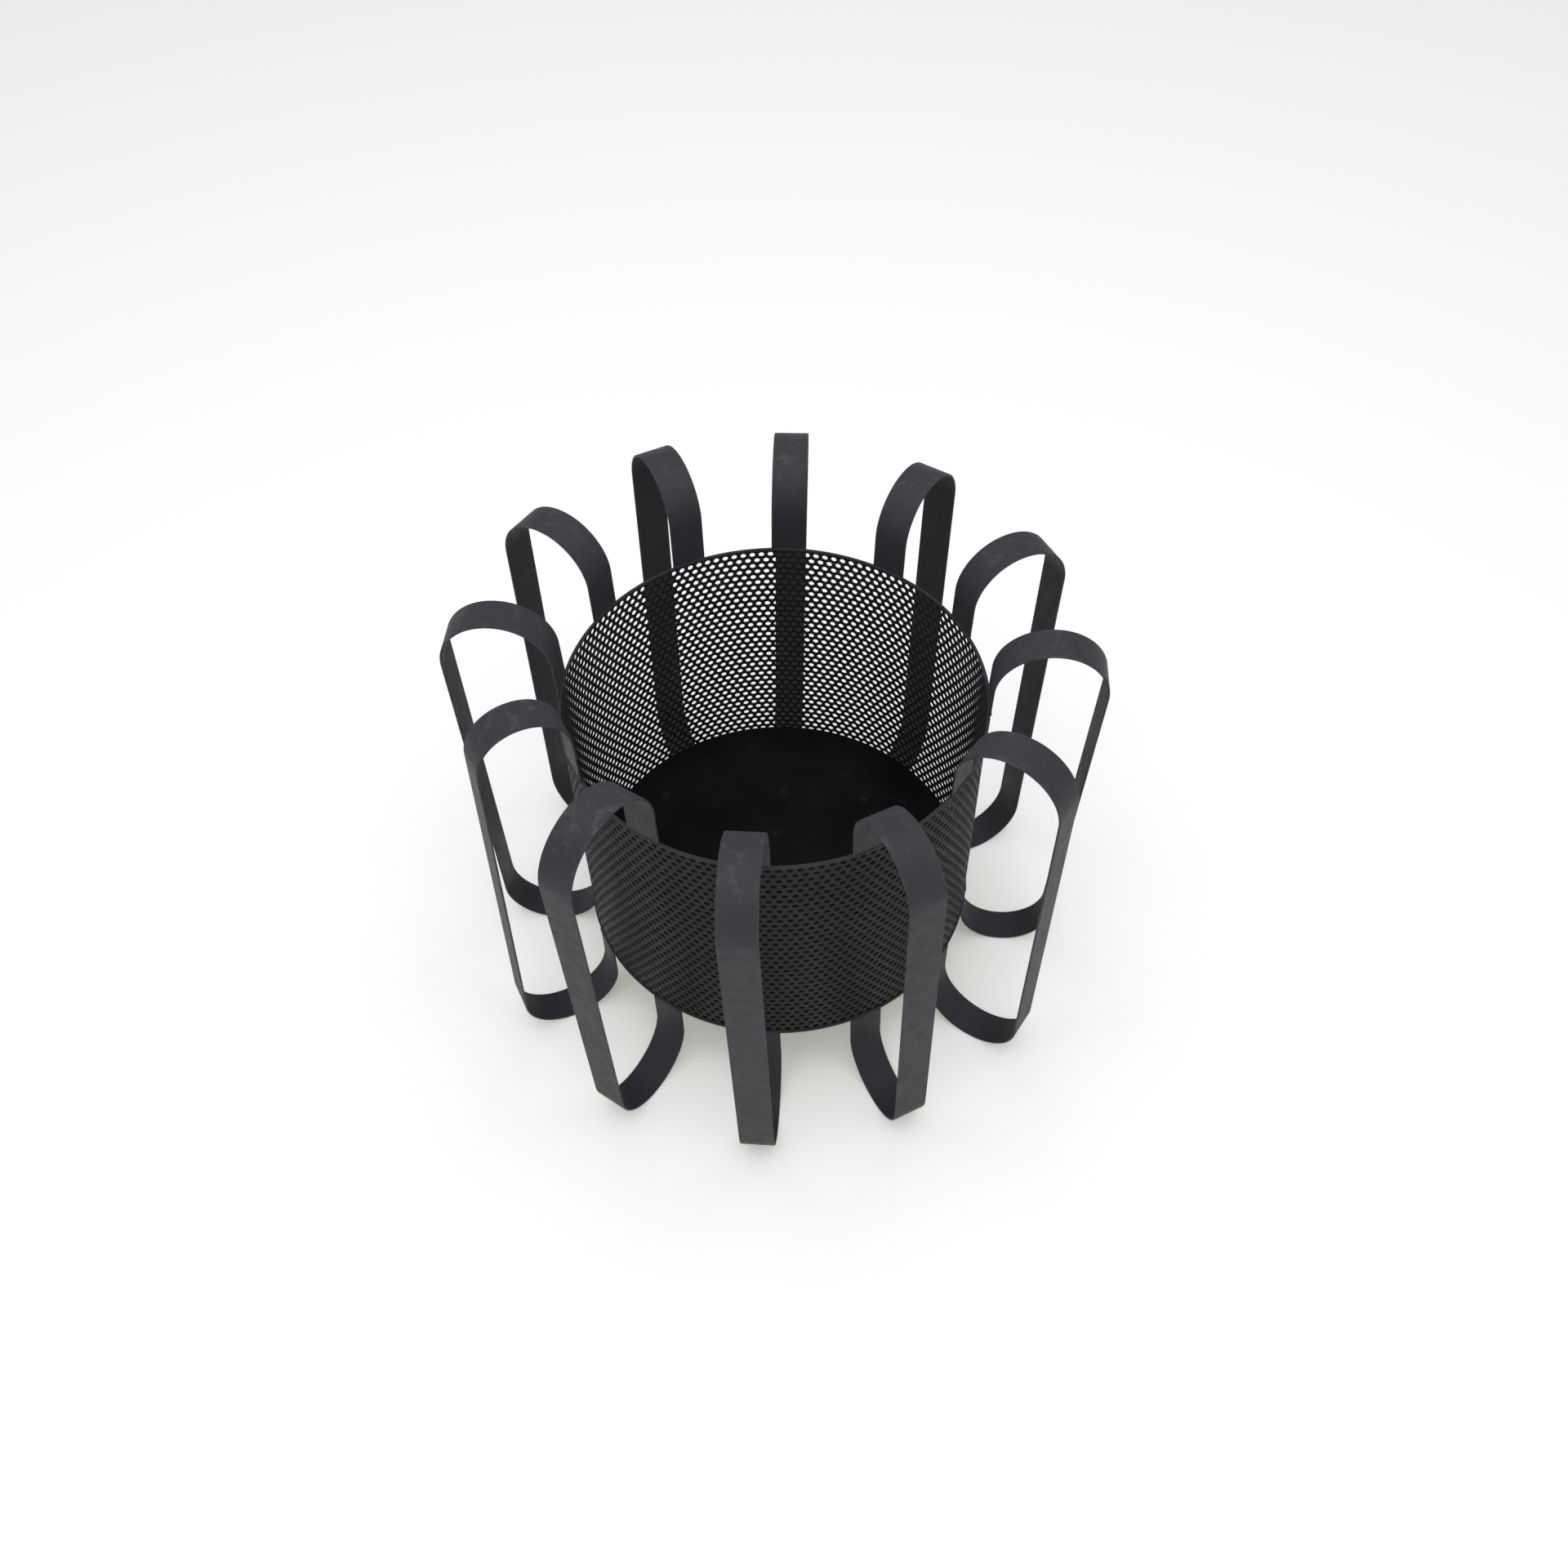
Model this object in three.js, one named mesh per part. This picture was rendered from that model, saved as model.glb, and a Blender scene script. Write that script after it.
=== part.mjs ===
// Firewood log rack: a round perforated basket carried by twelve flat-strip hoops.
// Units are millimetres, +Z is up, and the origin is on the ground under the basket's centre.
import * as THREE from "three";

// Overall sizes: across the hoops where they stand, and up to the crown of a plain hoop
const GROUND_DIAMETER = 600;
const CROWN_HEIGHT = 450;

// Basket: a thin perforated sheet between two narrow rings, over a folded floor pan
const RIM_DIAMETER = 400;
const BASKET_BOTTOM = 86;
const BASKET_TOP = 365;
const WALL_THICKNESS = 1.2;
const RING_HEIGHT = 3;
const RING_THICKNESS = 3;
const RING_PROUD = 1.3;
const RING_CHAMFER = 0.5;
const FLOOR_TOP = 95;
const FLOOR_THICKNESS = 2;

// Hoops
const HOOP_COUNT = 12;
const STRAP_WIDTH = 34;
const STRAP_THICKNESS = 2;
const BEND_STEPS = 21;

// Every crown stands this much further out than the foot below it.
const CROWN_FLARE = 2;

// The straps are bent and welded by hand, so most hoops differ by a few millimetres: "rise" lifts
// the crown, "lean" brings the outer leg in at its top, and "tuck" brings it in at the ground.
// "sway" moves the crown sideways, anticlockwise seen from above, and "swing" turns the whole
// hoop that way round the basket, in degrees.
const HAND_BENT = {
  1: { rise: 5, swing: 2, sway: -8 },
  2: { lean: 4, tuck: 6, swing: 0.5, sway: -5 },
  3: { rise: -2, lean: 2, tuck: 6, sway: -3 },
  4: { rise: -5, tuck: 10 },
  5: { rise: -7, lean: 2 },
  6: { rise: -5, lean: 8, tuck: 8, swing: 0.5, sway: -8 },
  7: { rise: -3, tuck: 4, sway: -6 },
  8: { rise: 10, lean: -6 },
  9: { rise: 8, lean: 16, swing: 0.5, sway: 2 },
  10: { rise: 5, swing: 0.5 },
  11: { rise: 6, tuck: -6, swing: 0.5 },
  12: { rise: 10, lean: 6, swing: 0.5, sway: -3 },
};

// Welded faces are left this far apart, so that every piece stays its own closed solid.
const GAP = 0.3;
const AROUND = 96;

// Radii that follow from the sizes above. A strap ends on the middle of a ring.
const ringOutside = RIM_DIAMETER / 2;
const ringInside = ringOutside - RING_THICKNESS;
const wallOutside = ringOutside - RING_PROUD;
const wallInside = wallOutside - WALL_THICKNESS;
const hoopInside = (ringInside + ringOutside - STRAP_THICKNESS) / 2;

function steel(hex, roughness) {
  return new THREE.MeshStandardMaterial({ color: hex, roughness, metalness: 0.35 });
}

// A lathe turns about Y, so the mesh is tipped to stand on Z.
function turned(name, profile, material) {
  const points = profile.map(([r, z]) => new THREE.Vector2(r, z));
  const mesh = new THREE.Mesh(new THREE.LatheGeometry(points, AROUND), material);
  mesh.name = name;
  mesh.rotation.x = Math.PI / 2;
  return mesh;
}

// A narrow ring with its four long edges broken, its section closed on itself.
function ring(name, low, material) {
  const inside = ringInside;
  const outside = ringOutside;
  const high = low + RING_HEIGHT;
  const c = RING_CHAMFER;
  const profile = [
    [inside + c, low],
    [outside - c, low],
    [outside, low + c],
    [outside, high - c],
    [outside - c, high],
    [inside + c, high],
    [inside, high - c],
    [inside, low + c],
    [inside + c, low],
  ];
  return turned(name, profile, material);
}

// The wall is a plain sheet here. Its round perforations are far finer than the object.
function basketWall() {
  const low = BASKET_BOTTOM + RING_HEIGHT + GAP;
  const high = BASKET_TOP - RING_HEIGHT - GAP;
  const profile = [
    [wallInside, low],
    [wallOutside, low],
    [wallOutside, high],
    [wallInside, high],
    [wallInside, low],
  ];
  return turned("basket_wall", profile, steel(0x3e3e42, 0.6));
}

function rimRing() {
  return ring("rim_ring", BASKET_TOP - RING_HEIGHT, steel(0x414145, 0.55));
}

function hemRing() {
  return ring("hem_ring", BASKET_BOTTOM, steel(0x3c3c40, 0.55));
}

// The floor is a shallow pan, turned upside down: its edge is folded down inside the hem,
// where it is welded, and it closes the lowest row of holes from behind.
function floorPlate() {
  const edge = ringInside - GAP;
  const foldLow = BASKET_BOTTOM + GAP;
  const underside = FLOOR_TOP - FLOOR_THICKNESS;
  const profile = [
    [0, underside],
    [edge - FLOOR_THICKNESS, underside],
    [edge - FLOOR_THICKNESS, foldLow],
    [edge, foldLow],
    [edge, FLOOR_TOP - 1],
    [edge - 1, FLOOR_TOP],
    [0, FLOOR_TOP],
  ];
  return turned("floor_plate", profile, steel(0x333336, 0.65));
}

// Points of a half-circle bend between two radii, "inset" from its outer face. An odd number
// of steps puts a flat facet at the crown, and the centre is set so that this facet lies
// exactly on the height asked for.
function bendPoints(near, far, crownY, inset, upwards) {
  const radius = (far - near) / 2;
  const centreX = near + radius;
  const half = Math.PI / 2 / BEND_STEPS;
  const sign = upwards ? 1 : -1;
  const centreY = crownY - sign * radius * Math.cos(half);
  const points = [];
  for (let i = 0; i <= BEND_STEPS; i += 1) {
    const angle = (Math.PI * i) / BEND_STEPS;
    const x = centreX - (radius - inset) * Math.cos(angle);
    const y = centreY + sign * (radius - inset) * Math.sin(angle);
    points.push(new THREE.Vector2(x, y));
  }
  return points;
}

// Side view of one hoop: X runs out from the basket's axis and Y runs up. The strap leaves
// the rim, bends over, drops to the ground, bends under and rises to the basket's lower edge.
function hoopOutline({ rise = 0, lean = 0, tuck = 0 }) {
  const crown = CROWN_HEIGHT + rise;
  const topNear = hoopInside + CROWN_FLARE;
  const topFar = GROUND_DIAMETER / 2 + CROWN_FLARE - lean;
  const lowFar = GROUND_DIAMETER / 2 - tuck;
  const t = STRAP_THICKNESS;
  const outsideFace = [
    ...bendPoints(topNear, topFar, crown, 0, true),
    ...bendPoints(hoopInside, lowFar, 0, 0, false).reverse(),
  ];
  const insideFace = [
    ...bendPoints(hoopInside, lowFar, 0, t, false),
    ...bendPoints(topNear, topFar, crown, t, true).reverse(),
  ];
  const endTop = BASKET_TOP + GAP;
  const endLow = BASKET_BOTTOM - GAP;
  return [
    new THREE.Vector2(hoopInside, endTop),
    ...outsideFace,
    new THREE.Vector2(hoopInside, endLow),
    new THREE.Vector2(hoopInside + t, endLow),
    ...insideFace,
    new THREE.Vector2(hoopInside + t, endTop),
  ];
}

// The extrusion's depth points clockwise once the hoop stands up, so the shear that moves the
// crown anticlockwise is negative.
function hoop(index, bent) {
  const shape = new THREE.Shape(hoopOutline(bent));
  const geometry = new THREE.ExtrudeGeometry(shape, { depth: STRAP_WIDTH, bevelEnabled: false });
  geometry.translate(0, 0, -STRAP_WIDTH / 2);
  const shear = -(bent.sway ?? 0) / CROWN_HEIGHT;
  geometry.applyMatrix4(new THREE.Matrix4().makeShear(0, 0, 0, shear, 0, 0));
  const mesh = new THREE.Mesh(geometry, steel(0x47474b, 0.5));
  mesh.name = `hoop_${String(index).padStart(2, "0")}`;
  mesh.rotation.x = Math.PI / 2;
  return mesh;
}

// Hoop 1 stands at the back (+Y) and the numbers run clockwise seen from above.
function hoopCrown() {
  const crown = new THREE.Group();
  for (let index = 1; index <= HOOP_COUNT; index += 1) {
    const bent = HAND_BENT[index] ?? {};
    const arm = new THREE.Group();
    const evenly = Math.PI / 2 - (2 * Math.PI * (index - 1)) / HOOP_COUNT;
    arm.rotation.z = evenly + THREE.MathUtils.degToRad(bent.swing ?? 0);
    arm.add(hoop(index, bent));
    crown.add(arm);
  }
  return crown;
}

const rack = new THREE.Group();
rack.name = "firewood_log_rack";
rack.add(basketWall(), rimRing(), hemRing(), floorPlate(), hoopCrown());

export default rack;
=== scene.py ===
# %% [markdown]
# # A firewood log rack
# The rack is a round basket of perforated sheet steel. Twelve flat steel straps stand round it.
# Each strap leaves the top rim, bends over, drops to the ground, bends under and comes back up
# to the basket's lower edge, so it is a leg, a bumper and a carrying handle in one.
#
# The CAD model is loaded first and fixes every size. Blender then makes the finer shapes that
# the CAD leaves out, such as the holes in the sheet and the rounded edges of the straps.

# %% Load the fixed frame
import math
import bpy
from mathutils import Matrix, Vector


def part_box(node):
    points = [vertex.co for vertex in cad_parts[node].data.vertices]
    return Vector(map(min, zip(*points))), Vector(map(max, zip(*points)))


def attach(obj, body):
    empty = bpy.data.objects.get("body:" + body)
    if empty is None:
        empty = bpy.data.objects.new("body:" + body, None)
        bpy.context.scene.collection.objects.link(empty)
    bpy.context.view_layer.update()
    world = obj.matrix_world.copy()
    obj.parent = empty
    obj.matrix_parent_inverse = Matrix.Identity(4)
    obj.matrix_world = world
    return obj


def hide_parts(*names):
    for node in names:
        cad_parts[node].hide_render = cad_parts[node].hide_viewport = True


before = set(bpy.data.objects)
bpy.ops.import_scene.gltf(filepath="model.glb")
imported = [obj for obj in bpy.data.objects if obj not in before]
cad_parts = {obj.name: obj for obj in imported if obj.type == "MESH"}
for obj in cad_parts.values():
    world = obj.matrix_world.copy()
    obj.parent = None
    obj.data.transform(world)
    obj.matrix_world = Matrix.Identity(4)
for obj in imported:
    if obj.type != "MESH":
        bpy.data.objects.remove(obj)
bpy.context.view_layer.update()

# %% [markdown]
# ## Sizes
# Nothing is measured twice. The rings, the wall and the straps are read from the CAD boxes,
# so a change in the CAD moves the Blender pieces with it. Hoop 4 stands square on the X axis,
# so its box is exactly as deep as the strap is wide. Only what no box shows is written down,
# such as the thickness of a bar or of the sheet.

# %% Read the sizes from the CAD boxes
rim_low, rim_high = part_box("rim_ring")
hem_low, hem_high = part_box("hem_ring")
square_low, square_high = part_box("hoop_04")

RING_RADIUS = rim_high.x
WALL_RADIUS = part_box("basket_wall")[1].x
STRAP_WIDTH = square_high.y - square_low.y
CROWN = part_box("hoop_01")[1].z
print("ring radius", RING_RADIUS, "strap width", STRAP_WIDTH, "crown", CROWN)

# %% Write down the thicknesses
RING_THICKNESS = 0.003
STRAP_THICKNESS = 0.002
WALL_THICKNESS = 0.0012
print("ring", RING_THICKNESS, "strap", STRAP_THICKNESS, "wall", WALL_THICKNESS)

# %% [markdown]
# ## A small toolbox for node trees
# A node tree can be built by hand in the editor, or in a script as here. A few short helpers
# keep the later cells readable. One starts a tree with named inputs. One adds a node and sets
# its sockets by name. Where a name holds a space or is used twice, a number does instead: i0 is
# the first socket and i1 the second. Another turns the finished tree into a plain mesh.
#
# Weighted Normal then shades the flat faces flat and leaves the softness to the rounded edges.

# %% Start a tree with named inputs
SOCKETS = {float: "NodeSocketFloat", int: "NodeSocketInt"}


def start_tree(name, numbers):
    tree = bpy.data.node_groups.new(name, "GeometryNodeTree")
    tree.interface.new_socket("Geometry", in_out="INPUT", socket_type="NodeSocketGeometry")
    for label, value in numbers.items():
        socket = tree.interface.new_socket(label, in_out="INPUT", socket_type=SOCKETS[type(value)])
        socket.default_value = value
    tree.interface.new_socket("Finish", in_out="INPUT", socket_type="NodeSocketMaterial")
    tree.interface.new_socket("Geometry", in_out="OUTPUT", socket_type="NodeSocketGeometry")
    return tree, tree.nodes.new("NodeGroupInput").outputs


# %% Add a node and fill its sockets
def fill(tree, socket, value):
    if isinstance(value, bpy.types.NodeSocket):
        tree.links.new(value, socket)
    else:
        socket.default_value = value


def node(tree, kind, settings=None, **sockets):
    made = tree.nodes.new(kind)
    for key, value in (settings or {}).items():
        setattr(made, key, value)
    for key, value in sockets.items():
        by_number = key[0] == "i" and key[1:].isdigit()
        fill(tree, made.inputs[int(key[1:]) if by_number else key], value)
    return made


def calc(tree, operation, *values):
    sockets = {f"i{n}": value for n, value in enumerate(values)}
    return node(tree, "ShaderNodeMath", {"operation": operation}, **sockets).outputs[0]


def place(tree, x, y, z):
    return node(tree, "ShaderNodeCombineXYZ", X=x, Y=y, Z=z).outputs[0]


def join(tree, *geometries):
    made = tree.nodes.new("GeometryNodeJoinGeometry")
    for geometry in geometries:
        tree.links.new(geometry, made.inputs[0])
    return made.outputs[0]


# %% Finish a tree
def end_tree(tree, geometry, finish):
    real = node(tree, "GeometryNodeRealizeInstances", Geometry=geometry)
    painted = node(tree, "GeometryNodeSetMaterial", Geometry=real.outputs[0], Material=finish)
    out = tree.nodes.new("NodeGroupOutput")
    tree.links.new(painted.outputs[0], out.inputs[0])
    return tree


# %% Turn a tree's result into a plain mesh
# A modifier's input goes by its identifier, not by the name that the panel shows.
def make_piece(name, tree, numbers, finish, weighted=True):
    shell = bpy.data.objects.new(name + "_tree", bpy.data.meshes.new(name + "_seed"))
    bpy.context.scene.collection.objects.link(shell)
    modifier = shell.modifiers.new("Shape", "NODES")
    modifier.node_group = tree
    for item in tree.interface.items_tree:
        if item.in_out == "INPUT" and item.name in numbers:
            modifier[item.identifier] = numbers[item.name]
        if item.in_out == "INPUT" and item.name == "Finish":
            modifier[item.identifier] = finish
    if weighted:
        shell.modifiers.new("Flat faces stay flat", "WEIGHTED_NORMAL").weight = 100
    depsgraph = bpy.context.evaluated_depsgraph_get()
    mesh = bpy.data.meshes.new_from_object(shell.evaluated_get(depsgraph), depsgraph=depsgraph)
    bpy.data.objects.remove(shell)
    piece = bpy.data.objects.new(name, mesh)
    bpy.context.scene.collection.objects.link(piece)
    faces = sum(len(face.vertices) - 2 for face in mesh.polygons)
    print(name, "has", faces, "triangles")
    return piece


# %% [markdown]
# ## The coating
# Every piece is steel under the same matte charcoal coating. A flat colour would look like
# plastic. The real finish has a very fine orange-peel skin, slow changes of tone where the
# coating lies thicker, a few pale rubs, and edges polished by hands and logs. All of it is
# made from noise on Object coordinates, so the pattern stays fixed to the metal.

# %% Helpers for materials
def new_material(name):
    material = bpy.data.materials.new(name)
    material.use_nodes = True
    tree = material.node_tree
    tree.nodes.clear()
    shader = tree.nodes.new("ShaderNodeBsdfPrincipled")
    output = tree.nodes.new("ShaderNodeOutputMaterial")
    tree.links.new(shader.outputs[0], output.inputs[0])
    where = tree.nodes.new("ShaderNodeTexCoord").outputs["Object"]
    return material, tree, shader, where


def noise(tree, where, scale, detail=3.0, roughness=0.5):
    made = node(tree, "ShaderNodeTexNoise", Vector=where, Scale=scale, Detail=detail,
                Roughness=roughness)
    return made.outputs["Fac"]


def ramp(tree, value, low, high, to_low=0.0, to_high=1.0):
    made = node(tree, "ShaderNodeMapRange", {"interpolation_type": "SMOOTHSTEP"}, Value=value)
    labels = ("From Min", "From Max", "To Min", "To Max")
    for label, number in zip(labels, (low, high, to_low, to_high)):
        made.inputs[label].default_value = number
    return made.outputs[0]


def blend(tree, factor, first, second):
    # Sockets 6 and 7 are a Mix node's two colours, and output 2 is its mixed colour.
    made = node(tree, "ShaderNodeMix", {"data_type": "RGBA"}, Factor=factor)
    for number, value in ((6, first), (7, second)):
        is_colour = isinstance(value, tuple)
        fill(tree, made.inputs[number], (*value, 1.0) if is_colour else value)
    return made.outputs[2]


# %% Rubs, dust with a painted sheen, and worn edges
# Noise scales are waves per metre: at 11 a wave is as wide as a hand, at 38 to 90 it is the size
# of a finger mark, and at 1400 it is the grain of the coating itself. Dust and hand marks gather
# on the top 35 mm of the straps, and their pale spots there are also a painted sheen where the
# overhead light falls on the crowns.
DUST_AND_SHEEN_DEPTH = 0.035


def handling_marks(tree, where, rub_amount, crown_dust_and_sheen, edge_wear):
    # Pale rubs: thin patches where a streaky noise passes a threshold.
    streaks = node(tree, "ShaderNodeMapping", Vector=where, Scale=(1.0, 1.0, 0.35)).outputs[0]
    patches = ramp(tree, noise(tree, streaks, 38.0, detail=6.0, roughness=0.65), 0.60, 0.76)
    marks = calc(tree, "MULTIPLY", patches, rub_amount)
    if crown_dust_and_sheen:
        # Pale spots on the top of the crowns: real dust, and partly a painted sheen where the light
        # falls on them.
        height = node(tree, "ShaderNodeSeparateXYZ", Vector=where).outputs["Z"]
        crown = ramp(tree, height, CROWN - DUST_AND_SHEEN_DEPTH, CROWN)
        spots = ramp(tree, noise(tree, where, 80.0, detail=5.0, roughness=0.7), 0.52, 0.68)
        dust_and_sheen = calc(tree, "MULTIPLY", calc(tree, "MULTIPLY", crown, spots), crown_dust_and_sheen)
        marks = calc(tree, "ADD", marks, dust_and_sheen)
    if edge_wear:
        across = node(tree, "ShaderNodeAttribute", {"attribute_name": "across"}).outputs["Fac"]
        near_edge = ramp(tree, calc(tree, "ABSOLUTE", across), 0.93, 1.0)
        broken = ramp(tree, noise(tree, where, 70.0, detail=4.0, roughness=0.6), 0.42, 0.62)
        worn = calc(tree, "MULTIPLY", calc(tree, "MULTIPLY", near_edge, broken), edge_wear)
        marks = calc(tree, "ADD", marks, worn)
    return marks


# %% The skin: fine orange peel over a faint waviness of the steel
def orange_peel(tree, where):
    peel = noise(tree, where, 1400.0, detail=2.0)
    wave = noise(tree, where, 26.0, detail=2.0)
    soft = node(tree, "ShaderNodeBump", Strength=0.25, Distance=0.0008, Height=wave)
    skin = node(tree, "ShaderNodeBump", Strength=0.35, Distance=0.00006, Height=peel,
                Normal=soft.outputs[0])
    return skin.outputs[0]


# %% The shared charcoal coating
def coating(name, dark, pale, rub, rub_amount, edge_wear=0.0, crown_dust_and_sheen=0.0, gloss=0.22):
    material, tree, shader, where = new_material(name)
    broad = ramp(tree, noise(tree, where, 11.0, detail=4.0, roughness=0.6), 0.32, 0.68)
    marks = handling_marks(tree, where, rub_amount, crown_dust_and_sheen, edge_wear)
    colour = blend(tree, calc(tree, "MINIMUM", marks, 1.0), blend(tree, broad, dark, pale), rub)
    tree.links.new(colour, shader.inputs["Base Color"])
    # Satin where the coating is thick, duller on the marks.
    satin = ramp(tree, noise(tree, where, 90.0), 0.30, 0.70, 0.52, 0.62)
    rough = calc(tree, "ADD", satin, calc(tree, "MULTIPLY", marks, 0.25))
    tree.links.new(rough, shader.inputs["Roughness"])
    tree.links.new(orange_peel(tree, where), shader.inputs["Normal"])
    shader.inputs["Specular IOR Level"].default_value = gloss
    print("made finish", name)
    return material


# %% Mix the four finishes
# Colours are linear. The straps are the palest, with the most handling marks; the pale spots on
# their crowns are dust and partly a painted sheen. The floor plate is the darkest: its near-black
# colour is painted shade for the shaded inside of the basket, under brown bark dust.
GREY_RUB = (0.12, 0.12, 0.125)
FINE_RUB = (0.10, 0.10, 0.105)
BARK_DUST = (0.075, 0.060, 0.045)
strap_finish = coating(
    "strap_coating", (0.038, 0.037, 0.044), (0.044, 0.043, 0.050), GREY_RUB, 0.14,
    edge_wear=0.35, crown_dust_and_sheen=0.40)
ring_finish = coating(
    "ring_coating", (0.030, 0.030, 0.034), (0.035, 0.035, 0.039), GREY_RUB, 0.12)
sheet_finish = coating(
    "sheet_coating", (0.020, 0.020, 0.0225), (0.024, 0.024, 0.0265), FINE_RUB, 0.06, gloss=0.15)
# The floor plate's near-black colour and weak gloss are painted shade; the brown bark dust on it is
# real dirt.
floor_painted_shade_finish = coating(
    "floor_coating_painted_shade", (0.005, 0.005, 0.0055), (0.011, 0.010, 0.010), BARK_DUST, 0.40, gloss=0.05)

# %% [markdown]
# ## The bent straps
# A strap is a 34 mm wide flat bar. Its centreline is only six points joined by straight lines,
# and Fillet Curve rounds the four corners, just as a bending former does to the bar. Limit
# Radius lets two neighbouring corners meet in a half circle. Curve to Mesh then sweeps the
# rounded section of the bar along that line. One tree serves all twelve straps.
#
# Each strap end is welded to its ring, so a thin bead runs along both of its faces. The beads
# are small and only soften the joint. A bead is a short line across the strap, swept with a
# circle whose size wanders a little. Its noise takes its own seed, so no two beads are alike.
#
# The straps are bent and welded by hand, so some stand a few millimetres taller than others,
# lean in at the top, tuck in at the ground, or stand a little askew. Each one is therefore
# measured on its CAD mesh first.

# %% Helper: sweep the rounded section of a bar along a line
EDGE_STEPS = 3


def flat_bar(tree, width, height, edge):
    bar = node(tree, "GeometryNodeCurvePrimitiveQuadrilateral", Width=width, Height=height)
    bar = node(tree, "GeometryNodeFilletCurve", {"mode": "POLY"}, Curve=bar.outputs[0],
               Count=EDGE_STEPS, Radius=edge)
    return bar.outputs[0]


def sweep(tree, line, section, capped, **more):
    swept = node(tree, "GeometryNodeCurveToMesh", Curve=line, i1=section, **more)
    swept.inputs["Fill Caps"].default_value = capped
    return swept.outputs[0]


# %% Helper: one weld bead across a strap
BEAD_STEPS = 40
BEAD_SIDES = 10
BEAD_LUMPS = 420.0


def weld_bead(tree, out, up, length, radius, seed):
    half = calc(tree, "MULTIPLY", length, 0.5)
    start = place(tree, 0.0, calc(tree, "MULTIPLY", half, -1.0), 0.0)
    end = place(tree, 0.0, half, 0.0)
    line = node(tree, "GeometryNodeCurvePrimitiveLine", Start=start, End=end)
    line = node(tree, "GeometryNodeResampleCurve", Curve=line.outputs[0], Count=BEAD_STEPS)
    here = node(tree, "GeometryNodeInputPosition").outputs[0]
    lumps = node(tree, "ShaderNodeTexNoise", {"noise_dimensions": "4D"}, Vector=here,
                 Scale=BEAD_LUMPS, W=seed)
    swell = ramp(tree, lumps.outputs["Fac"], 0.25, 0.75, 0.8, 1.2)
    section = node(tree, "GeometryNodeCurvePrimitiveCircle", Resolution=BEAD_SIDES, Radius=radius)
    bead = sweep(tree, line.outputs[0], section.outputs[0], True, Scale=swell)
    moved = node(tree, "GeometryNodeTransform", Geometry=bead, Translation=place(tree, out, 0.0, up))
    return moved.outputs[0]


# %% Helper: the four beads of a strap, on both of its faces at both of its ends
def strap_beads(tree, sizes):
    to_face = calc(tree, "MULTIPLY", sizes["Strap thickness"], 0.5)
    beads = []
    for end in ("Upper end", "Lower end"):
        for side in ("ADD", "SUBTRACT"):
            out = calc(tree, side, sizes["Foot radius"], to_face)
            seed = calc(tree, "ADD", sizes["Bead seed"], float(len(beads)))
            beads.append(weld_bead(tree, out, sizes[end], sizes["Bead length"],
                                   sizes["Bead radius"], seed))
    return beads


# %% Helper: the strap's centreline, six points with the corners rounded off
def strap_line(tree, sizes):
    foot, top, ground = sizes["Foot radius"], sizes["Crown height"], sizes["Ground height"]
    corners = (
        (foot, sizes["Upper end"]), (calc(tree, "ADD", foot, sizes["Flare"]), top),
        (sizes["Top corner"], top), (sizes["Ground corner"], ground),
        (foot, ground), (foot, sizes["Lower end"]))
    pick = tree.nodes.new("GeometryNodeIndexSwitch")
    pick.data_type = "VECTOR"
    while len(pick.index_switch_items) < len(corners):
        pick.index_switch_items.new()
    index = node(tree, "GeometryNodeInputIndex").outputs[0]
    tree.links.new(index, pick.inputs[0])
    for slot, (out, up) in zip(pick.inputs[1:], corners):
        tree.links.new(place(tree, out, 0.0, up), slot)
    line = node(tree, "GeometryNodeMeshLine", Count=len(corners))
    path = node(tree, "GeometryNodeSetPosition", Geometry=line.outputs[0], Position=pick.outputs[0])
    path = node(tree, "GeometryNodeMeshToCurve", Mesh=path.outputs[0])
    # The first three corners take the radius of the top bend, the others that of the ground bend.
    is_low = calc(tree, "GREATER_THAN", index, 2.5)
    change = calc(tree, "SUBTRACT", sizes["Ground bend"], sizes["Top bend"])
    radius = calc(tree, "ADD", sizes["Top bend"], calc(tree, "MULTIPLY", is_low, change))
    bends = node(tree, "GeometryNodeFilletCurve", {"mode": "POLY"}, Curve=path.outputs[0],
                 Count=sizes["Bend steps"], Radius=radius)
    bends.inputs["Limit Radius"].default_value = True
    # A fixed normal keeps the bar's flat side square to the basket all the way round.
    bends = node(tree, "GeometryNodeSetCurveNormal", {"mode": "FREE"}, Curve=bends.outputs[0],
                 Normal=(0.0, 1.0, 0.0))
    return bends.outputs[0]


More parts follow.
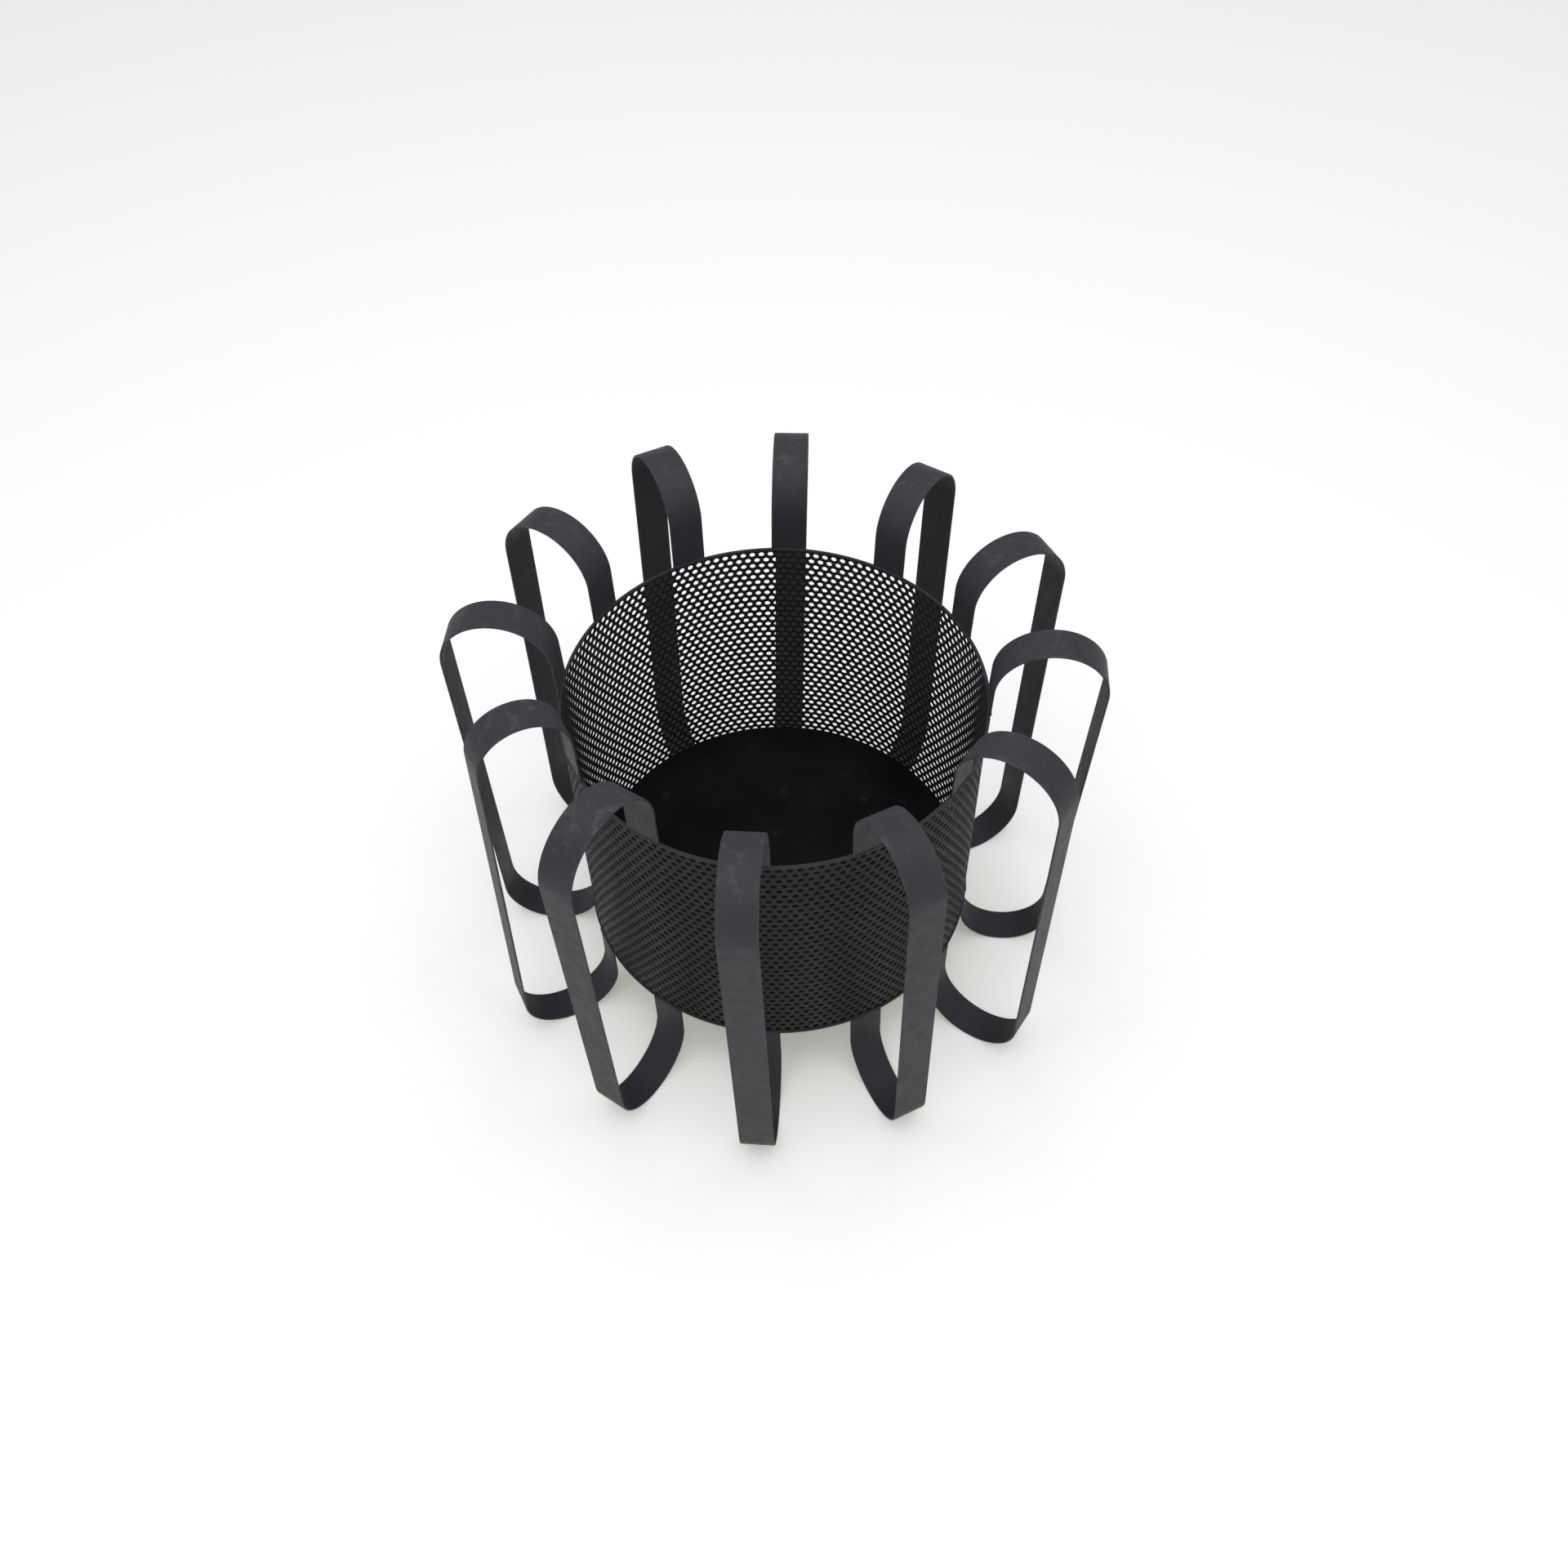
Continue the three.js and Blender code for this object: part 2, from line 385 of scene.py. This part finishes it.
# %% Tree: a flat bar bent into an open hoop
def hoop_tree(shared_sizes):
    tree, sizes = start_tree("Bent strap", shared_sizes)
    bar = flat_bar(tree, sizes["Strap width"], sizes["Strap thickness"], sizes["Edge radius"])
    strap = sweep(tree, strap_line(tree, sizes), bar, True)
    welded = join(tree, strap, *strap_beads(tree, sizes))
    # Remember how far each point is from the strap's middle, for the wear along its edges.
    here = node(tree, "GeometryNodeInputPosition").outputs[0]
    parts = node(tree, "ShaderNodeSeparateXYZ", Vector=here)
    half = calc(tree, "MULTIPLY", sizes["Strap width"], 0.5)
    across = calc(tree, "DIVIDE", parts.outputs["Y"], half)
    marked = node(tree, "GeometryNodeStoreNamedAttribute", {"data_type": "FLOAT", "domain": "POINT"},
                  Geometry=welded, Name="across", Value=across)
    # Sway: every point moves sideways in step with its height. Then the hoop turns to its place.
    aside = place(tree, 0.0, calc(tree, "MULTIPLY", parts.outputs["Z"], sizes["Sway"]), 0.0)
    swayed = node(tree, "GeometryNodeSetPosition", Geometry=marked.outputs[0], Offset=aside)
    turned = node(tree, "GeometryNodeTransform", Geometry=swayed.outputs[0],
                  Rotation=place(tree, 0.0, 0.0, sizes["Turn"]))
    smooth = node(tree, "GeometryNodeSetShadeSmooth", Geometry=turned.outputs[0])
    return end_tree(tree, smooth.outputs[0], sizes["Finish"])


# %% Build the tree from the sizes that all straps share
# A zero stands for a value that each hoop fills in for itself.
half_bar = STRAP_THICKNESS / 2
strap_sizes = {
    "Foot radius": RING_RADIUS - RING_THICKNESS / 2,
    "Flare": 0.002,
    "Top corner": 0.0,
    "Ground corner": 0.0,
    "Top bend": 0.0,
    "Ground bend": 0.0,
    "Crown height": 0.0,
    "Ground height": half_bar,
    "Upper end": rim_high.z,
    "Lower end": hem_low.z,
    "Strap width": STRAP_WIDTH,
    "Strap thickness": STRAP_THICKNESS,
    "Edge radius": 0.0006,
    "Bend steps": 24,
    "Bead length": STRAP_WIDTH - 0.002,
    "Bead radius": 0.0009,
    "Bead seed": 0.0,
    "Sway": 0.0,
    "Turn": 0.0,
}
bent_strap = hoop_tree(strap_sizes)
print("the strap's tree has", len(bent_strap.nodes), "nodes")

# %% Measure one hoop on its CAD mesh
# A point this close to the ground or to the crown counts as lying on it.
TOUCH = 0.0005


def middle(points):
    spots = {tuple(round(value, 6) for value in point) for point in points}
    return sum((Vector(spot) for spot in spots), Vector()) / len(spots)


def measure_hoop(index):
    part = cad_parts[f"hoop_{index:02d}"]
    points = [part.matrix_world @ vertex.co for vertex in part.data.vertices]
    crown = max(point.z for point in points)
    # The flat facet on the ground shows which way the hoop faces, and the one at the crown shows
    # how far the hoop leans sideways.
    foot = middle(point for point in points if point.z < TOUCH)
    top = middle(point for point in points if point.z > crown - TOUCH)
    turn = math.atan2(foot.y, foot.x)
    outward = Vector((math.cos(turn), math.sin(turn), 0.0))
    sideways = Vector((-math.sin(turn), math.cos(turn), 0.0))
    return {
        "turn": turn,
        "crown": crown,
        "sway": top.dot(sideways) / crown,
        "reach_top": max(point.dot(outward) for point in points if point.z > crown / 2),
        "reach_ground": max(point.dot(outward) for point in points if point.z < crown / 2),
    }


# %% Work out the bends and corners of one hoop
# The outer leg is straight between its two bends. Carried on past them, its line gives the
# corners that the fillets then round off.
def outer_leg(hoop):
    top_reach = hoop["reach_top"] - half_bar
    ground_reach = hoop["reach_ground"] - half_bar
    top_bend = (top_reach - strap_sizes["Foot radius"] - strap_sizes["Flare"]) / 2
    ground_bend = (ground_reach - strap_sizes["Foot radius"]) / 2
    straight = hoop["crown"] - STRAP_THICKNESS - top_bend - ground_bend
    slant = (top_reach - ground_reach) / straight
    return {
        "Top corner": top_reach + slant * top_bend,
        "Ground corner": ground_reach - slant * ground_bend,
        "Top bend": top_bend,
        "Ground bend": ground_bend,
    }


# %% Make the twelve straps
HOOPS = 12
for index in range(1, HOOPS + 1):
    hoop = measure_hoop(index)
    print("hoop", index, {name: round(value, 4) for name, value in hoop.items()})
    strap = make_piece(f"strap_{index:02d}", bent_strap, {
        **strap_sizes,
        **outer_leg(hoop),
        "Crown height": hoop["crown"] - half_bar,
        "Bead seed": 10.0 * index,
        "Sway": hoop["sway"],
        "Turn": hoop["turn"],
    }, strap_finish)
    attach(strap, "root")
    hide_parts(f"hoop_{index:02d}")

# %% [markdown]
# ## The rim and the lower hem
# Two narrow rings stiffen the sheet's raw edges and give the straps something to be welded to.
# The straps are welded on the middle of the rings. A circle swept with a small rounded section
# is the plainest way to make a ring.

# %% Tree: a flat ring
def ring_tree(shared_sizes):
    tree, sizes = start_tree("Flat ring", shared_sizes)
    half = calc(tree, "MULTIPLY", sizes["Thickness"], 0.5)
    circle = node(tree, "GeometryNodeCurvePrimitiveCircle", Resolution=sizes["Steps round"],
                  Radius=calc(tree, "SUBTRACT", sizes["Outside radius"], half))
    bar = flat_bar(tree, sizes["Thickness"], sizes["Height"], sizes["Edge radius"])
    swept = sweep(tree, circle.outputs[0], bar, False)
    level = calc(tree, "ADD", sizes["Bottom"], calc(tree, "MULTIPLY", sizes["Height"], 0.5))
    lifted = node(tree, "GeometryNodeTransform", Geometry=swept,
                  Translation=place(tree, 0.0, 0.0, level))
    smooth = node(tree, "GeometryNodeSetShadeSmooth", Geometry=lifted.outputs[0])
    return end_tree(tree, smooth.outputs[0], sizes["Finish"])


# %% Make both rings
ring_sizes = {
    "Outside radius": RING_RADIUS,
    "Thickness": RING_THICKNESS,
    "Bottom": 0.0,
    "Height": 0.0,
    "Edge radius": 0.0007,
    "Steps round": 192,
}
flat_ring = ring_tree(ring_sizes)
for name, cad_node, low, high in (
        ("rim", "rim_ring", rim_low, rim_high), ("hem", "hem_ring", hem_low, hem_high)):
    own_sizes = {"Bottom": low.z, "Height": high.z - low.z}
    ring = make_piece(name, flat_ring, {**ring_sizes, **own_sizes}, ring_finish)
    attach(ring, "root")
    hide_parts(cad_node)

# %% [markdown]
# ## The perforated wall
# The wall is a sheet punched with thousands of round holes in staggered rows. Cutting them with
# booleans would take minutes and leave poor faces. It is quicker to make one small tile with a
# hole in it, repeat the tile on a grid of points, and then roll the flat sheet into a cylinder.
#
# Every other row is shifted by half a hole, like bricks. The tile has a point in the middle of
# each side, so shifted neighbours still share their points and the merged sheet has no gaps.
# The rolled sheet is extruded to its thickness, and a flipped copy closes the back.
#
# The wall is made as an upper and a lower band. They meet edge to edge without a visible line,
# and each stays light enough to handle.

# %% Helper: one tile, a rectangle with a round hole in it
def punched_tile(tree, sizes, pitch):
    edge = node(tree, "GeometryNodeCurvePrimitiveQuadrilateral", Width=pitch,
                Height=sizes["Row spacing"])
    edge = node(tree, "GeometryNodeSubdivideCurve", Curve=edge.outputs[0], Cuts=1)
    hole = node(tree, "GeometryNodeCurvePrimitiveCircle", Resolution=sizes["Hole sides"],
                Radius=sizes["Hole radius"])
    outline = join(tree, edge.outputs[0], hole.outputs[0])
    return node(tree, "GeometryNodeFillCurve", Curve=outline).outputs[0]


# %% Helper: a grid of points, one for each hole, with every other row shifted
def hole_grid(tree, sizes, pitch):
    count = calc(tree, "MULTIPLY", sizes["Rows"], sizes["Holes round"])
    line = node(tree, "GeometryNodeMeshLine", Count=count)
    index = node(tree, "GeometryNodeInputIndex").outputs[0]
    turns = calc(tree, "DIVIDE", calc(tree, "ADD", index, 0.5), sizes["Holes round"])
    row = calc(tree, "FLOOR", turns)
    column = calc(tree, "SUBTRACT", index, calc(tree, "MULTIPLY", row, sizes["Holes round"]))
    shift = calc(tree, "MULTIPLY", calc(tree, "MODULO", row, 2.0), 0.5)
    along = calc(tree, "MULTIPLY", calc(tree, "ADD", column, shift), pitch)
    up = calc(tree, "MULTIPLY", calc(tree, "ADD", row, 0.5), sizes["Row spacing"])
    spots = node(tree, "GeometryNodeSetPosition", Geometry=line.outputs[0],
                 Position=place(tree, along, up, 0.0))
    return spots.outputs[0]


# %% Helpers: roll the flat sheet up, and give it its thickness
# Points closer together than this become one.
MERGE = 0.00005


def merge(tree, geometry):
    return node(tree, "GeometryNodeMergeByDistance", Geometry=geometry, Distance=MERGE).outputs[0]


def roll_up(tree, flat, radius, bottom):
    # Distance along the sheet becomes an angle round the basket.
    here = node(tree, "GeometryNodeInputPosition").outputs[0]
    parts = node(tree, "ShaderNodeSeparateXYZ", Vector=here)
    angle = calc(tree, "DIVIDE", parts.outputs["X"], radius)
    x = calc(tree, "MULTIPLY", calc(tree, "COSINE", angle), radius)
    y = calc(tree, "MULTIPLY", calc(tree, "SINE", angle), radius)
    z = calc(tree, "ADD", parts.outputs["Y"], bottom)
    rolled = node(tree, "GeometryNodeSetPosition", Geometry=flat, Position=place(tree, x, y, z))
    return merge(tree, rolled.outputs[0])


def thicken(tree, sheet, thickness):
    # The front is pushed outwards, and a flipped copy closes the back.
    front = node(tree, "GeometryNodeExtrudeMesh", Mesh=sheet, i3=thickness)
    front.inputs["Individual"].default_value = False
    back = node(tree, "GeometryNodeFlipFaces", Mesh=sheet)
    return merge(tree, join(tree, front.outputs[0], back.outputs[0]))


# %% Tree: a band of rolled, perforated sheet
# An edge folded more sharply than this is crisp, such as the edge of a hole.
CRISP_ANGLE = math.radians(40)


def sheet_tree(shared_sizes):
    tree, sizes = start_tree("Perforated sheet", shared_sizes)
    inside = calc(tree, "SUBTRACT", sizes["Outside radius"], sizes["Sheet thickness"])
    pitch = calc(tree, "DIVIDE", calc(tree, "MULTIPLY", inside, 2 * math.pi), sizes["Holes round"])
    tiles = node(tree, "GeometryNodeInstanceOnPoints", Points=hole_grid(tree, sizes, pitch),
                 Instance=punched_tile(tree, sizes, pitch))
    flat = node(tree, "GeometryNodeRealizeInstances", Geometry=tiles.outputs[0])
    rolled = roll_up(tree, flat.outputs[0], inside, sizes["Bottom"])
    solid = thicken(tree, rolled, sizes["Sheet thickness"])
    smooth = node(tree, "GeometryNodeSetShadeSmooth", Geometry=solid)
    fold = node(tree, "GeometryNodeInputMeshEdgeAngle").outputs[0]
    crisp = node(tree, "GeometryNodeSetShadeSmooth", {"domain": "EDGE"}, Geometry=smooth.outputs[0],
                 Selection=calc(tree, "GREATER_THAN", fold, CRISP_ANGLE))
    crisp.inputs["Shade Smooth"].default_value = False
    return end_tree(tree, crisp.outputs[0], sizes["Finish"])


# %% Space the rows of holes evenly between the two rings
ROWS = 36
sheet_low = hem_high.z
sheet_high = rim_low.z
spacing = (sheet_high - sheet_low) / ROWS
print("row spacing", round(spacing * 1000, 2), "mm")

# %% Make the upper and lower bands
sheet_sizes = {
    "Outside radius": WALL_RADIUS,
    "Sheet thickness": WALL_THICKNESS,
    "Bottom": 0.0,
    "Row spacing": spacing,
    "Rows": ROWS // 2,
    "Holes round": 134,
    "Hole radius": 0.0029,
    "Hole sides": 12,
}
perforated_sheet = sheet_tree(sheet_sizes)
for name, bottom in (("wall_lower", sheet_low), ("wall_upper", sheet_low + spacing * ROWS / 2)):
    own_sizes = {"Bottom": bottom}
    band = make_piece(name, perforated_sheet, {**sheet_sizes, **own_sizes}, sheet_finish,
                      weighted=False)
    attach(band, "root")
    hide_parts("basket_wall")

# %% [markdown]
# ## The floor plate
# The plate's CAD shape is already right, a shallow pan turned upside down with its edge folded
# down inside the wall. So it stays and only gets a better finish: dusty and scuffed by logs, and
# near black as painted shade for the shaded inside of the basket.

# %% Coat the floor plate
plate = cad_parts["floor_plate"]
# The finish is near black as painted shade, with real bark dust and scuffs on it.
for material_slot in plate.material_slots:
    material_slot.material = floor_painted_shade_finish
print("coated", plate.name)

# %% [markdown]
# ## Floor, light and camera
# A pale floor and soft light from all round keep attention on the dark metal. The floor also
# glows faintly, like a lit acrylic table, which lifts the metal's lower side. One large lamp
# overhead, slightly to the front, gives the crowns a soft sheen and a faint shadow.

# %% A plain pale floor
FLOOR_SIZE = 14.0
bpy.ops.mesh.primitive_plane_add(size=FLOOR_SIZE, location=(0.0, 0.0, 0.0))
ground = bpy.context.object
ground.name = "studio_floor"
ground_material, _, ground_shader, _ = new_material("studio_floor")
ground_shader.inputs["Base Color"].default_value = (0.93, 0.93, 0.94, 1.0)
ground_shader.inputs["Roughness"].default_value = 0.9
ground_shader.inputs["Specular IOR Level"].default_value = 0.0
ground_shader.inputs["Emission Color"].default_value = (1.0, 1.0, 0.86, 1.0)
ground_shader.inputs["Emission Strength"].default_value = 0.27
ground.data.materials.append(ground_material)
print("floor", FLOOR_SIZE, "m across")

# %% Soft light from all round
scene = bpy.context.scene
scene.view_settings.view_transform = "Standard"
scene.world = bpy.data.worlds.new("studio")
scene.world.use_nodes = True
sky = scene.world.node_tree.nodes["Background"]
sky.inputs["Color"].default_value = (0.985, 0.98, 1.04, 1.0)
sky.inputs["Strength"].default_value = 0.52
print("sky strength", round(sky.inputs["Strength"].default_value, 2))

# %% One large lamp overhead
softbox = bpy.data.lights.new("overhead_softbox", "AREA")
softbox.shape = "DISK"
softbox.size = 3.0
softbox.energy = 32.0
lamp = bpy.data.objects.new("overhead_softbox", softbox)
lamp.location = (0.0, -0.3, 2.6)
aim = Vector((0.0, 0.0, 0.2)) - Vector(lamp.location)
lamp.rotation_euler = aim.to_track_quat("-Z", "Y").to_euler()
scene.collection.objects.link(lamp)
print("lamp of", softbox.energy, "W at", tuple(round(value, 2) for value in lamp.location))

# %% The camera
# It stands in front of the rack and slightly to one side, looks well down at it, and is rolled
# and shifted by very little.
azimuth, elevation, roll = (math.radians(angle) for angle in (5.1, 50.94, -1.29))
distance = 1.457
target = Vector((0.0058, 0.0028, 0.2269))
look = Vector((
    -math.sin(azimuth) * math.cos(elevation),
    math.cos(azimuth) * math.cos(elevation),
    -math.sin(elevation)))
right = Vector((math.cos(azimuth), math.sin(azimuth), 0.0))
up = right.cross(look)
camera_x = right * math.cos(roll) + up * math.sin(roll)
camera_y = up * math.cos(roll) - right * math.sin(roll)
facing = Matrix((camera_x, camera_y, -look)).transposed().to_4x4()

camera = bpy.data.objects.new("camera", bpy.data.cameras.new("camera"))
camera.data.lens = 33.42
camera.data.sensor_width = 36.0
camera.data.shift_x = 0.0009
camera.data.shift_y = 0.0005
camera.matrix_world = Matrix.Translation(target - look * distance) @ facing
scene.collection.objects.link(camera)
scene.camera = camera
print("camera", distance, "m from its target, lens", round(camera.data.lens, 2), "mm")
